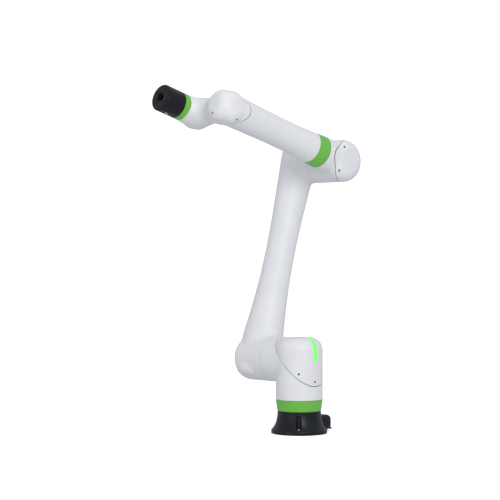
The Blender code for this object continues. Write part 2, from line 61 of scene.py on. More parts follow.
STEP = 0.0034      # spacing of the housings' fine mesh
WALL = 0.0040      # housings' thickness
EDGE = 0.0006      # rounding of every rim
SEAM = 0.0015      # line between a housing and its cap, where the gasket shows

X, Y, Z = (Vector(v) for v in ((1, 0, 0), (0, 1, 0), (0, 0, 1)))
ALONG_ARM = Vector((-math.sin(LEAN), 0, math.cos(LEAN)))
ALONG_FOREARM = Vector((math.cos(FOREARM_RISE), 0, math.sin(FOREARM_RISE)))
ABOVE = Vector((-math.sin(FOREARM_RISE), 0, math.cos(FOREARM_RISE)))
ALONG_J5 = math.cos(FOREARM_ROLL) * Y + math.sin(FOREARM_ROLL) * ABOVE
ABOVE_J5 = ALONG_FOREARM.cross(ALONG_J5).normalized()
J2 = SHOULDER_HEIGHT * Z
ROOT = J2 + ARM_SIDE * Y
HEAD = ROOT + UPPER_ARM * ALONG_ARM
J3 = J2 + UPPER_ARM * ALONG_ARM
J5 = J3 + FOREARM * ALONG_FOREARM
WRIST = J5 - WRIST_OFFSET * ALONG_J5


def place(origin, z_axis, x_axis):
    """A frame: its origin, and its X, Y and Z as rows."""
    z = Vector(z_axis).normalized()
    x = Vector(x_axis)
    x = (x - x.dot(z) * z).normalized()
    return np.array(origin), np.array((x, z.cross(x), z))


# ---- housings: a field that is zero on the skin and negative inside ----

def smooth_radii(table):
    """Heights and radii of a turned outline, with its corners eased."""
    heights = np.linspace(table[0][0] - 0.02, table[-1][0] + 0.02, 500)
    radii = np.interp(heights, *zip(*table))
    window = max(3, int(0.030 / (heights[1] - heights[0])))
    weight = np.hanning(window + 2)[1:-1]
    padded = np.pad(radii, window, mode="edge")
    eased = np.convolve(padded, weight / weight.sum(), mode="same")[window:-window]
    return heights, eased


def barrel(at, table, start, end, edge):
    """A turned body, flat at its start and closed with a rounded edge at its end."""
    origin, turn = at
    heights, radii = smooth_radii(sorted(table)) if len(table) > 1 else (None, table[0][1])
    way = 1.0 if end > start else -1.0

    def field(points):
        local = (points - origin) @ turn.T
        reach = np.hypot(local[:, 0], local[:, 1]) + 1e-12
        radius = radii if heights is None else np.interp(local[:, 2], heights, radii)
        side = reach - radius + edge
        past = way * (local[:, 2] - end) + edge
        out, up = np.maximum(side, 0), np.maximum(past, 0)
        distance = np.hypot(out, up) + np.minimum(np.maximum(side, past), 0) - edge
        flat = way * (start - local[:, 2])
        corner = np.hypot(out, up) > 1e-9
        lean = np.where(corner, up, (past > side).astype(float))
        spread = np.where(corner, out, (past <= side).astype(float))
        size = np.hypot(lean, spread) + 1e-12
        facing = np.stack([local[:, 0] / reach * spread, local[:, 1] / reach * spread, way * lean], 1)
        return np.maximum(distance, flat), (facing / size[:, None]) @ turn

    return field


def joined(first, second, fillet):
    """Two bodies as one, with a fillet where their skins meet at an angle and none where they run together."""
    def field(points):
        a, facing_a = first(points)
        b, facing_b = second(points)
        turned_away = 1.0 - np.einsum("ij,ij->i", facing_a, facing_b)
        width = fillet * np.clip(turned_away, 0.0, 1.0) + 1e-7
        mix = np.clip(0.5 + 0.5 * (b - a) / width, 0, 1)
        blended = b + (a - b) * mix - width * mix * (1 - mix)
        facing = facing_b + (facing_a - facing_b) * mix[:, None]
        size = np.linalg.norm(facing, axis=1, keepdims=True) + 1e-12
        return blended, facing / size

    return field


def slope(field, points):
    """The field's gradient."""
    sides = []
    for axis in np.eye(3) * 2e-5:
        sides.append((field(points + axis)[0] - field(points - axis)[0]) / 4e-5)
    return np.stack(sides, 1)


def onto(field, points, rounds=3):
    """Moves points onto the skin."""
    for _ in range(rounds):
        gradient = slope(field, points)
        size = np.maximum((gradient ** 2).sum(1, keepdims=True), 0.2)
        points = points - field(points)[0][:, None] * gradient / size
    return points


def skin(field, low, high, step):
    """An even quad mesh over the field's skin: one point in each cell that the skin crosses."""
    counts = [int(math.ceil((b - a) / step / 4)) * 4 + 1 for a, b in zip(low, high)]
    axes = [a + step * np.arange(n) for a, n in zip(low, counts)]
    rough = np.stack(np.meshgrid(*[a[::4] for a in axes], indexing="ij"), -1)
    rough_values = field(rough.reshape(-1, 3))[0].reshape(rough.shape[:3])
    nearest = [np.minimum((np.arange(n) + 2) // 4, (n - 1) // 4) for n in counts]
    values = rough_values[np.ix_(*nearest)]
    close = np.argwhere(np.abs(values) < 5.5 * step)
    points = np.stack([axes[k][close[:, k]] for k in range(3)], 1)
    values[tuple(close.T)] = field(points)[0]

    inside = values < 0
    corners = [(i, j, k) for i in (0, 1) for j in (0, 1) for k in (0, 1)]
    stack = sum(inside[i:i + counts[0] - 1, j:j + counts[1] - 1, k:k + counts[2] - 1].astype(np.int8)
                for i, j, k in corners)
    cells = np.argwhere((stack > 0) & (stack < 8))
    total = np.zeros((len(cells), 3))
    hits = np.zeros(len(cells))
    for a in corners:
        for axis in range(3):
            if a[axis]:
                continue
            b = tuple(v + (n == axis) for n, v in enumerate(a))
            at_a = values[tuple((cells + a).T)]
            at_b = values[tuple((cells + b).T)]
            crossed = (at_a < 0) != (at_b < 0)
            share = np.where(crossed, at_a / np.where(crossed, at_a - at_b, 1), 0)
            spot = cells + np.array(a) + share[:, None] * (np.array(b) - np.array(a))
            total += spot * crossed[:, None]
            hits += crossed
    points = total / hits[:, None] * step + np.array([a[0] for a in axes])
    index = -np.ones([n - 1 for n in counts], np.int64)
    index[tuple(cells.T)] = np.arange(len(cells))

    quads = []
    for axis in range(3):
        u, v = (axis + 1) % 3, (axis + 2) % 3
        one = [slice(1, -1)] * 3
        two = [slice(1, -1)] * 3
        one[axis], two[axis] = slice(0, -1), slice(1, None)
        crossed = np.argwhere(inside[tuple(one)] != inside[tuple(two)])
        crossed[:, u] += 1
        crossed[:, v] += 1
        back_u, back_v = np.zeros(3, int), np.zeros(3, int)
        back_u[u], back_v[v] = 1, 1
        ring = [crossed, crossed - back_u, crossed - back_u - back_v, crossed - back_v]
        quad = np.stack([index[tuple(c.T)] for c in ring], 1)
        leaving = inside[tuple(crossed.T)]
        quads.append(np.where(leaving[:, None], quad, quad[:, ::-1]))
    quads = np.concatenate(quads)
    quads = quads[(quads >= 0).all(1)]

    pairs = np.concatenate([quads[:, [k, (k + 1) % 4]] for k in range(4)])
    pairs = np.concatenate([pairs, pairs[:, ::-1]])
    degree = np.bincount(pairs[:, 0], minlength=len(points))[:, None]
    points = onto(field, points, 2)
    for _ in range(5):
        mean = np.stack([np.bincount(pairs[:, 0], points[pairs[:, 1], k], len(points)) for k in range(3)], 1)
        points = onto(field, points + 0.6 * (mean / degree - points), 1)
    return onto(field, points, 2), quads


def mesh_object(name, points, faces, sharp=35):
    """A smooth-shaded object from points and faces."""
    mesh = bpy.data.meshes.new(name)
    mesh.from_pydata([tuple(p) for p in points], [], [tuple(f) for f in faces])
    mesh.update()
    piece = bpy.data.objects.new(name, mesh)
    bpy.context.collection.objects.link(piece)
    mesh.shade_smooth()
    mesh.set_sharp_from_angle(angle=math.radians(sharp))
    return piece


def facing_out(piece):
    """Turns the piece's faces outwards if they face inwards."""
    made = bmesh.new()
    made.from_mesh(piece.data)
    if made.calc_volume(signed=True) < 0:
        bmesh.ops.reverse_faces(made, faces=made.faces)
    made.to_mesh(piece.data)
    made.free()
    return piece


def trimmed(field, points, quads, cuts, step):
    """The mesh cut off at planes, as points, faces and rims. A cut is a point, the normal of what goes,
    and, where it must not reach the whole piece, a point and the normal away from where it works."""
    made = bmesh.new()
    verts = [made.verts.new(p) for p in points]
    for quad in quads:
        made.faces.new([verts[i] for i in quad])
    for spot, normal, *guard in cuts:
        normal = np.array(Vector(normal).normalized())
        spot = np.array(spot)
        made.verts.ensure_lookup_table()
        where = np.array([v.co for v in made.verts], float)
        reached = np.ones(len(where), bool)
        if guard:
            reached = (where - np.array(guard[0])) @ np.array(guard[1]) < 0
        near = np.argwhere(reached & (np.abs((where - spot) @ normal) < 0.32 * step))[:, 0]
        moved = where[near]
        for _ in range(5):
            outward = slope(field, moved)
            outward /= np.linalg.norm(outward, axis=1, keepdims=True) + 1e-12
            across = normal - (outward @ normal)[:, None] * outward
            share = np.maximum(across @ normal, 0.05)
            moved = moved - (((moved - spot) @ normal) / share)[:, None] * across
            moved = onto(field, moved, 1)
        for number, index in enumerate(near):
            made.verts[index].co = moved[number]
        parts = [v for v, near_by in zip(made.verts, reached) if near_by]
        chosen = set(parts)
        parts += [e for e in made.edges if all(v in chosen for v in e.verts)]
        parts += [f for f in made.faces if all(v in chosen for v in f.verts)]
        bmesh.ops.bisect_plane(made, geom=parts, dist=0.00003, plane_co=spot, plane_no=normal, clear_outer=True)
    bmesh.ops.remove_doubles(made, verts=made.verts, dist=0.0001)
    bmesh.ops.dissolve_degenerate(made, edges=made.edges, dist=0.00005)
    loose = [v for v in made.verts if not v.link_faces]
    bmesh.ops.delete(made, geom=loose, context="VERTS")
    made.verts.index_update()
    where = np.array([v.co for v in made.verts], float)
    faces = [[v.index for v in f.verts] for f in made.faces]
    rims = [(loop.vert.index, loop.link_loop_next.vert.index)
            for e in made.edges if len(e.link_faces) == 1 for loop in e.link_loops]
    made.free()
    return where, faces, rims


def seat(name, rim, facing, normal, pairs):
    """The dark gasket in the line along a cap's rim, a little below the skin."""
    used = sorted({a for a, b in pairs} | {b for a, b in pairs})
    slot = {v: n for n, v in enumerate(used)}
    rim, facing, normal = rim[used], facing[used], normal[used]
    across = normal - np.einsum("ij,ij->i", normal, facing)[:, None] * facing
    across /= np.einsum("ij,ij->i", normal, across)[:, None]
    rings = []
    for depth, share in ((0.0007, 0.06), (0.0007, 0.94), (0.0034, 0.94), (0.0034, 0.06)):
        rings.append(rim - depth * facing + share * SEAM * across)
    count = len(used)
    faces = []
    for a, b in pairs:
        for n in range(4):
            m = (n + 1) % 4
            faces.append((slot[a] + n * count, slot[b] + n * count, slot[b] + m * count, slot[a] + m * count))
    body = name.split("_gasket")[0]
    finish(facing_out(mesh_object(name, np.concatenate(rings), faces)), body, JACKET, "cable_jacket")


def housing(name, field, surface, cuts, wall=WALL, gasket=None):
    """A closed shell of even thickness over a skin, cut at planes, with softly rounded rims.
    With a gasket's name, the gasket is laid in the line at the last plane."""
    points, faces, rims = trimmed(field, *surface, cuts, STEP)
    outward = slope(field, points)
    outward /= np.linalg.norm(outward, axis=1, keepdims=True) + 1e-12
    edge = sorted({a for pair in rims for a in pair})
    slot = {v: n for n, v in enumerate(edge)}
    planes = np.array([(*cut[0], *Vector(cut[1]).normalized()) for cut in cuts])
    at = points[edge]
    off = np.abs(np.einsum("ecx,cx->ec", at[:, None] - planes[None, :, :3], planes[:, 3:]))
    normal = planes[off.argmin(1), 3:]
    facing = outward[edge]
    across = normal - np.einsum("ij,ij->i", normal, facing)[:, None] * facing
    across /= np.linalg.norm(across, axis=1, keepdims=True) + 1e-12
    points[edge] = at - EDGE * across
    rings = []
    for angle in (30, 60, 90):
        c, s = math.cos(math.radians(angle)), math.sin(math.radians(angle))
        rings.append(points[edge] - EDGE * facing + EDGE * (c * facing + s * across))
    rings.append(rings[-1] - (wall - EDGE) * facing)
    inner = points - wall * outward
    inner[edge] = rings.pop()
    count, rim = len(points), len(edge)
    everything = np.concatenate([points, *rings, inner])
    first_inner = count + len(rings) * rim
    levels = [lambda v: v] + [lambda v, n=n: count + n * rim + slot[v] for n in range(len(rings))]
    levels.append(lambda v: first_inner + v)
    solid = list(faces)
    solid += [[first_inner + v for v in reversed(face)] for face in faces]
    if gasket is not None:
        owner = off.argmin(1)
        seat(gasket, at, facing, normal, [(slot[a], slot[b]) for a, b in rims if owner[slot[a]] == len(cuts) - 1])
    for a, b in rims:
        for upper, lower in zip(levels, levels[1:]):
            solid.append([upper(b), upper(a), lower(a), lower(b)])
    return mesh_object(name, everything, solid)


# ---- turned pieces, rounded boxes and cuts ----

def eased(corners, steps=4):
    """A closed outline with its corners rounded. A corner is (radius, height, rounding)."""
    points = []
    count = len(corners)
    for index, (r, h, rounding) in enumerate(corners):
        here = Vector((r, h))
        before = Vector(corners[index - 1][:2]) - here
        after = Vector(corners[(index + 1) % count][:2]) - here
        if rounding <= 0:
            points.append((r, h))
            continue
        a = here + before.normalized() * min(rounding, before.length * 0.48)
        b = here + after.normalized() * min(rounding, after.length * 0.48)
        for n in range(steps + 1):
            t = n / steps
            points.append(tuple((1 - t) ** 2 * a + 2 * t * (1 - t) * here + t * t * b))
    return points


def lathe(name, corners, at, steps=128, sharp=35):
    """A turned solid from its outline's corners."""
    origin, turn = at
    outline = eased(corners)
    made = bmesh.new()
    rings = []
    for r, h in outline:
        if r < 1e-7:
            rings.append([made.verts.new(origin + h * turn[2])] * steps)
            continue
        ring = []
        for n in range(steps):
            angle = 2 * math.pi * n / steps
            ring.append(made.verts.new(origin + r * math.cos(angle) * turn[0]
                                       + r * math.sin(angle) * turn[1] + h * turn[2]))
        rings.append(ring)
    for a, b in zip(rings, rings[1:] + rings[:1]):
        for n in range(steps):
            m = (n + 1) % steps
            corner = list(dict.fromkeys((a[n], a[m], b[m], b[n])))
            if len(corner) > 2:
                made.faces.new(corner)
    if made.calc_volume(signed=True) < 0:
        bmesh.ops.reverse_faces(made, faces=made.faces)
    made.verts.index_update()
    points = [tuple(v.co) for v in made.verts]
    faces = [[v.index for v in f.verts] for f in made.faces]
    made.free()
    return mesh_object(name, points, faces, sharp)


def settle(piece):
    """Applies the piece's modifiers."""
    graph = bpy.context.evaluated_depsgraph_get()
    piece.data = bpy.data.meshes.new_from_object(piece.evaluated_get(graph))
    piece.modifiers.clear()
    piece.data.name = piece.name
    return piece


def cut_out(piece, cutters, sharp=35):
    """Cuts the cutters out of a piece."""
    for cutter in cutters:
        change = piece.modifiers.new("cut", "BOOLEAN")
        change.operation = "DIFFERENCE"
        change.object = cutter
        settle(piece)
        bpy.data.objects.remove(cutter)
    piece.data.shade_smooth()
    piece.data.set_sharp_from_angle(angle=math.radians(sharp))
    return piece


def soften(piece, width, angle=30, segments=3):
    """Rounds every edge sharper than an angle."""
    change = piece.modifiers.new("soften", "BEVEL")
    change.width = width
    change.segments = segments
    change.limit_method = "ANGLE"
    change.angle_limit = math.radians(angle)
    change.harden_normals = True
    settle(piece)
    piece.data.shade_smooth()
    return piece


def block(name, low, high, rounding, segments=5, at=None):
    """A box with rounded edges."""
    made = bmesh.new()
    bmesh.ops.create_cube(made, size=1.0)
    size = Vector(high) - Vector(low)
    for v in made.verts:
        v.co = Vector(low) + Vector((v.co[k] + 0.5) * size[k] for k in range(3))
    bmesh.ops.bevel(made, geom=made.edges, offset=rounding, segments=segments, affect="EDGES", profile=0.5)
    bmesh.ops.recalc_face_normals(made, faces=made.faces)
    made.verts.index_update()
    points = np.array([v.co for v in made.verts])
    if at is not None:
        points = at[0] + points @ at[1]
    faces = [[v.index for v in f.verts] for f in made.faces]
    made.free()
    return mesh_object(name, points, faces)


# ---- materials ----

def look(name, colour, roughness, metallic=0.0, patch=0.04, patch_size=14.0, grain=900.0, grain_depth=0.00002,
         streak=None, coat=0.0, glow=0.0, shine=0.5):
    """A procedural surface: patchy colour, uneven gloss and a fine grain in the bump."""
    made = bpy.data.materials.new(name)
    made.use_nodes = True
    nodes, links = made.node_tree.nodes, made.node_tree.links
    shader = nodes["Principled BSDF"]
    shader.inputs["Metallic"].default_value = metallic
    shader.inputs["Specular IOR Level"].default_value = shine
    if coat:
        shader.inputs["Coat Weight"].default_value = coat
        shader.inputs["Coat Roughness"].default_value = 0.22
    spot = nodes.new("ShaderNodeTexCoord")
    stretch = nodes.new("ShaderNodeMapping")
    stretch.inputs["Scale"].default_value = streak or (1, 1, 1)
    links.new(spot.outputs["Object"], stretch.inputs["Vector"])

    def noise(scale, detail, rough=0.5):
        node = nodes.new("ShaderNodeTexNoise")
        node.inputs["Scale"].default_value = scale
        node.inputs["Detail"].default_value = detail
        node.inputs["Roughness"].default_value = rough
        links.new(stretch.outputs["Vector"], node.inputs["Vector"])
        return node.outputs["Fac"]

    def ramp(source, low, high):
        node = nodes.new("ShaderNodeValToRGB")
        node.color_ramp.elements[0].position = 0.35
        node.color_ramp.elements[1].position = 0.68
        node.color_ramp.elements[0].color = low
        node.color_ramp.elements[1].color = high
        links.new(source, node.inputs["Fac"])
        return node.outputs["Color"]

    def shade(factor):
        return tuple(min(c * factor, 1.0) for c in colour) + (1.0,)

    broad = noise(patch_size, 4.0)
    fine = noise(grain * 0.35, 3.0, 0.6)
    mixed = nodes.new("ShaderNodeMix")
    mixed.data_type = "RGBA"
    mixed.blend_type = "MULTIPLY"
    mixed.inputs["Factor"].default_value = 1.0
    links.new(ramp(broad, shade(1 - patch), shade(1 + patch * 0.5)), mixed.inputs["A"])
    links.new(ramp(fine, (1 - patch,) * 3 + (1,), (1, 1, 1, 1)), mixed.inputs["B"])
    links.new(mixed.outputs["Result"], shader.inputs["Base Color"])

    spread = nodes.new("ShaderNodeMapRange")
    spread.inputs["From Min"].default_value = 0.3
    spread.inputs["From Max"].default_value = 0.7
    spread.inputs["To Min"].default_value = roughness * 0.86
    spread.inputs["To Max"].default_value = min(roughness * 1.14, 1.0)
    links.new(noise(patch_size * 2.3, 5.0), spread.inputs["Value"])
    links.new(spread.outputs["Result"], shader.inputs["Roughness"])

    bump = nodes.new("ShaderNodeBump")
    bump.inputs["Strength"].default_value = 0.6
    bump.inputs["Distance"].default_value = grain_depth
    links.new(noise(grain, 2.0, 0.45), bump.inputs["Height"])
    links.new(bump.outputs["Normal"], shader.inputs["Normal"])
    if glow:
        links.new(mixed.outputs["Result"], shader.inputs["Emission Color"])
        shader.inputs["Emission Strength"].default_value = glow
    return made


WHITE = look("paint_white", (0.76, 0.765, 0.785), 0.50, patch=0.025, grain=620.0, grain_depth=0.00003)
BLACK = look("paint_black", (0.0080, 0.0100, 0.0135), 0.38, patch=0.20, grain=1500.0, grain_depth=0.00006,
             shine=0.22)
GREEN = look("plastic_green", (0.150, 0.500, 0.055), 0.42, patch=0.05, grain=1300.0, grain_depth=0.00003)
GLOW = look("light_green", (0.19, 0.84, 0.16), 0.28, patch=0.06, patch_size=60.0, glow=0.5)
STEEL = look("steel_turned", (0.55, 0.56, 0.58), 0.30, 1.0, patch=0.12, streak=(1, 1, 9), grain=700.0)
DARK = look("steel_dark", (0.16, 0.17, 0.18), 0.36, 1.0, patch=0.15, patch_size=90.0, grain=1200.0)
ALUMINIUM = look("aluminium_milled", (0.70, 0.71, 0.72), 0.34, 1.0, patch=0.08, streak=(1, 7, 1), grain=800.0)
COPPER = look("copper_wound", (0.60, 0.30, 0.12), 0.40, 0.9, patch=0.18, streak=(1, 1, 24), grain=500.0)
JACKET = look("cable_black", (0.03, 0.03, 0.033), 0.70, patch=0.15, streak=(1, 1, 4), grain=500.0,
              grain_depth=0.0001)


def finish(piece, body, surface, slot, *nodes):
    """Gives a piece its surface and its body, and hides the frame nodes that it stands for."""
    piece.data.materials.clear()
    piece.data.materials.append(surface)
    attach(piece, body)
    if nodes:
        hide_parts(*nodes)
    return piece


# ---- the pieces ----

UPRIGHT = place((0, 0, 0), Z, X)


def hex_head(name, at, radius, height, recess, key):
    """A socket head screw: a turned head with a six-sided recess."""
    head = lathe(name, [(0, 0, 0), (radius, 0, 0), (radius, height, 0.0009), (0, height, 0)], at, 48)
    tool = lathe("key", [(0, height - recess, 0), (key, height - recess, 0), (key, height + 0.004, 0),
                         (0, height + 0.004, 0)], at, 6)
    return cut_out(head, [tool])


def build_base():
    """The round casting with its four grooves and its screws."""
    corners = [
        (0, 0, 0), (0.0950, 0, 0.0012), (0.0950, 0.0120, 0.0020), (0.0900, 0.0168, 0.0050),
        (0.0845, 0.0250, 0.0060), (0.0800, 0.0360, 0.0070), (0.0764, 0.0500, 0.0070), (0.0740, 0.0660, 0.0040),
        (0.0740, 0.0740, 0.0010), (0.0680, 0.0740, 0.0008), (0.0680, 0.0140, 0.0010), (0, 0.0140, 0),
    ]
    casting = lathe("base_casting_fine", corners, UPRIGHT, 192)
    cutters = []
    for number in range(4):
        angle = math.pi / 4 + number * math.pi / 2
        spot = Vector((0.080 * math.cos(angle), 0.080 * math.sin(angle), 0))
        at = place(spot, Z, X)
        cutters.append(lathe("groove", [(0, 0.0120, 0), (0.0096, 0.0120, 0), (0.0096, 0.0640, 0.0060),
                                        (0, 0.0665, 0)], at, 64))
        bolt = hex_head(f"base_bolt_{number + 1}_fine", place(spot + 0.0123 * Z, Z, X), 0.0065, 0.0080,
                        0.0040, 0.0034)
        finish(bolt, "base", STEEL, "bolt_steel", f"base_bolt_{number + 1}")
    cut_out(casting, cutters)
    soften(casting, 0.0007, 40, 2)
    finish(casting, "base", BLACK, "black_paint", "base_casting")


def build_connector():
    """The connector box at the back of the base, with its plate, sockets and latch."""
    hood = block("connector_box_fine", (-0.1280, -0.0330, 0.0040), (-0.0600, 0.0330, 0.0560), 0.0160, 8)
    keep_out = lathe("keep_out", [(0, -0.01, 0), (0.0954, -0.01, 0), (0.0954, 0.0122, 0.002), (0.0905, 0.0170, 0.005),
                                  (0.0850, 0.0252, 0.006), (0.0805, 0.0362, 0.007), (0.0769, 0.0502, 0.007),
                                  (0.0745, 0.0800, 0), (0, 0.0800, 0)], UPRIGHT, 128)
    recess = block("recess", (-0.1400, -0.0230, 0.0130), (-0.1180, 0.0230, 0.0470), 0.0045, 5)
    cut_out(hood, [keep_out, recess])
    soften(hood, 0.0007, 40, 2)
    finish(hood, "base", BLACK, "black_paint", "connector_box")
    plate = block("connector_plate_fine", (-0.1210, -0.0227, 0.0133), (-0.1183, 0.0227, 0.0467), 0.0008, 2)
    finish(plate, "base", ALUMINIUM, "plate_aluminium", "connector_plate")
    for number, side in enumerate((-0.0115, 0.0115)):
        at = place((-0.1210, side, 0.0310), -X, Z)
        corners = [(0.0060, 0.0004, 0.0002), (0.0080, 0.0004, 0), (0.0080, 0.0012, 0.0003), (0.0072, 0.0016, 0.0002),
                   (0.0072, 0.0050, 0.0005), (0.0060, 0.0050, 0.0005)]
        socket = lathe(f"connector_socket_{number + 1}_fine", corners, at, 64)
        finish(socket, "base", STEEL, "bolt_steel", f"connector_socket_{number + 1}")
        core = lathe(f"connector_core_{number + 1}", [(0, 0.0002, 0), (0.0058, 0.0002, 0), (0.0058, 0.0012, 0.0004),
                                                     (0, 0.0012, 0)], at, 48)
        finish(core, "base", JACKET, "cable_jacket")
        for pin in range(5):
            angle = 2 * math.pi * pin / 5
            spot = Vector((-0.1222, side + 0.0032 * math.sin(angle), 0.0310 + 0.0032 * math.cos(angle)))
            pin_outline = [(0, 0, 0), (0.0005, 0, 0), (0.0005, 0.0020, 0.0003), (0, 0.0023, 0)]
            needle = lathe(f"connector_pin_{number + 1}_{pin + 1}", pin_outline, place(spot, -X, Z), 12)
            finish(needle, "base", STEEL, "bolt_steel")
    lever = block("connector_lever_fine", (-0.1400, -0.0180, 0.0050), (-0.1284, 0.0180, 0.0110), 0.0024, 5)
    dip = block("dip", (-0.1378, -0.0120, 0.0096), (-0.1306, 0.0120, 0.0150), 0.0016, 4)
    cut_out(lever, [dip])
    finish(lever, "base", BLACK, "black_paint", "connector_lever")


def screw_at(name, body, at, node):
    """A cap screw sunk in a chamfered hole. Returns the hole's cutter."""
    head = hex_head(name, (at[0] - 0.0021 * at[1][2], at[1]), 0.0034, 0.0017, 0.0011, 0.0018)
    finish(head, body, DARK, "screw_steel", node)
    return lathe("hole", [(0, -0.0150, 0), (0.0037, -0.0150, 0), (0.0037, -0.0005, 0), (0.0052, 0.0010, 0),
                          (0.0052, 0.0100, 0), (0, 0.0100, 0)], at, 48)


def light_path(top, edge):
    """Points in the Y-Z plane from the shoulder's top, over its rounded edge and down its side."""
    points = [(0.0180, top)]
    for step in range(17):
        angle = math.pi / 2 * step / 16
        points.append((SHOULDER_RADIUS - edge + edge * math.sin(angle), top - edge + edge * math.cos(angle)))
    return points + [(SHOULDER_RADIUS, 0.2450)]


def light_strip(name, field, half_width, proud, depth, rows=46, columns=12):
    """A lit ribbon with round ends over the shoulder's edge, from a little proud of the skin to some depth."""
    path = np.array(light_path(SHOULDER_TOP, SHOULDER_EDGE))
    lengths = np.concatenate([[0], np.cumsum(np.linalg.norm(np.diff(path, axis=0), axis=1))])
    full = lengths[-1]
    along = (1 - np.cos(np.linspace(0, math.pi, rows))) / 2
    along = 0.5 * along + 0.5 * np.linspace(0, 1, rows)
    along = along * (full - 0.0004) + 0.0002
    widths = np.sqrt(np.maximum(half_width ** 2 - np.maximum(half_width - along, 0) ** 2, 0))
    widths = np.minimum(widths, np.sqrt(np.maximum(
        half_width ** 2 - np.maximum(half_width - (full - along), 0) ** 2, 0)))
    across = np.sin(np.linspace(-math.pi / 2, math.pi / 2, columns))
    grid = np.zeros((rows, columns, 3))
    grid[:, :, 0] = widths[:, None] * across[None]
    grid[:, :, 1] = np.interp(along, lengths, path[:, 0])[:, None]
    grid[:, :, 2] = np.interp(along, lengths, path[:, 1])[:, None]
    flat = onto(field, grid.reshape(-1, 3), 4)
    outward = slope(field, flat)
    inset = np.minimum(half_width * (1 - np.abs(across)[None]), np.minimum(along, full - along)[:, None])
    crown = 1 - np.exp(-inset.reshape(-1) / 0.0005) if proud < 0.001 else np.ones(rows * columns)
    upper = flat + outward * (proud * crown - 0.0004 * (1 - crown))[:, None]
    lower = flat - outward * depth
    count = rows * columns
    faces = []
    for r in range(rows - 1):
        for c in range(columns - 1):
            a, b, d, e = r * columns + c, r * columns + c + 1, (r + 1) * columns + c + 1, (r + 1) * columns + c
            faces.append((a, b, d, e))
            faces.append((a + count, e + count, d + count, b + count))
    border = list(range(columns)) + [r * columns + columns - 1 for r in range(1, rows)]
    border += [(rows - 1) * columns + c for c in range(columns - 2, -1, -1)]
    border += [r * columns for r in range(rows - 2, 0, -1)]
    for a, b in zip(border, border[1:] + border[:1]):
        faces.append((b, a, a + count, b + count))
    return facing_out(mesh_object(name, np.concatenate([upper, lower]), faces, 60))


def build_shoulder():
    """The first joint's ring, the upright and sideways housing, its cap and the status light."""
    low = 0.0740
    ring = [(0.0680, 0.0766, 0.0004), (low, 0.0766, 0.0006), (low + 0.0010, 0.0800, 0.0010),
            (SHOULDER_RADIUS, 0.1128, 0.0008), (SHOULDER_RADIUS, RING_TOP - 0.0004, 0.0004),
            (0.0680, RING_TOP - 0.0004, 0.0004)]
    finish(lathe("j1_green_ring_fine", ring, UPRIGHT, 192), "shoulder", GREEN, "green_ring", "j1_green_ring")
    upright = barrel(UPRIGHT, [(0, SHOULDER_RADIUS)], 0.095, SHOULDER_TOP, SHOULDER_EDGE)
    sideways = barrel(place(J2, -Y, X), [(0, 0.0775)], 0.135, -0.0200, 0.0400)
    field = joined(upright, sideways, 0.030)
    bounds = ((-0.084, -0.140, 0.090), (0.084, 0.084, 0.329))
    corner = np.array((0, 0, 0.2410))
    out = np.array((0, 1, 1)) / math.sqrt(2)
    ends = [((0, 0, RING_TOP + 0.0004), -Z), ((0, -0.1142, 0), -Y)]
    surface = skin(field, *bounds, STEP)
    casing = housing("shoulder_casing_fine", field, surface, ends + [(corner - out * SEAM / 2, out)],
                     gasket="shoulder_gasket")
    cap = housing("shoulder_cap_fine", field, surface, [(corner + out * SEAM / 2, -out)])
    holes = [light_strip("slot", field, 0.0094, 0.0030, 0.0030)]
    for number, (turn, height) in enumerate(((2, 0.1770), (45, 0.2045))):
        out = Vector((math.sin(math.radians(turn)), math.cos(math.radians(turn)), 0))
        at = place(SHOULDER_RADIUS * out + height * Z, out, Z)
        node = f"shoulder_screw_{number + 1}"
        holes.append(screw_at(node + "_fine", "shoulder", settled_on(field, at), node))
    cut_out(cap, holes)
    strip = light_strip("status_light_fine", field, 0.0091, 0.0002, 0.0026)
    finish(strip, "shoulder", GLOW, "status_light", "status_light")
    finish(casing, "shoulder", WHITE, "white_paint", "shoulder_casing")
    finish(cap, "shoulder", WHITE, "white_paint", "shoulder_cap")


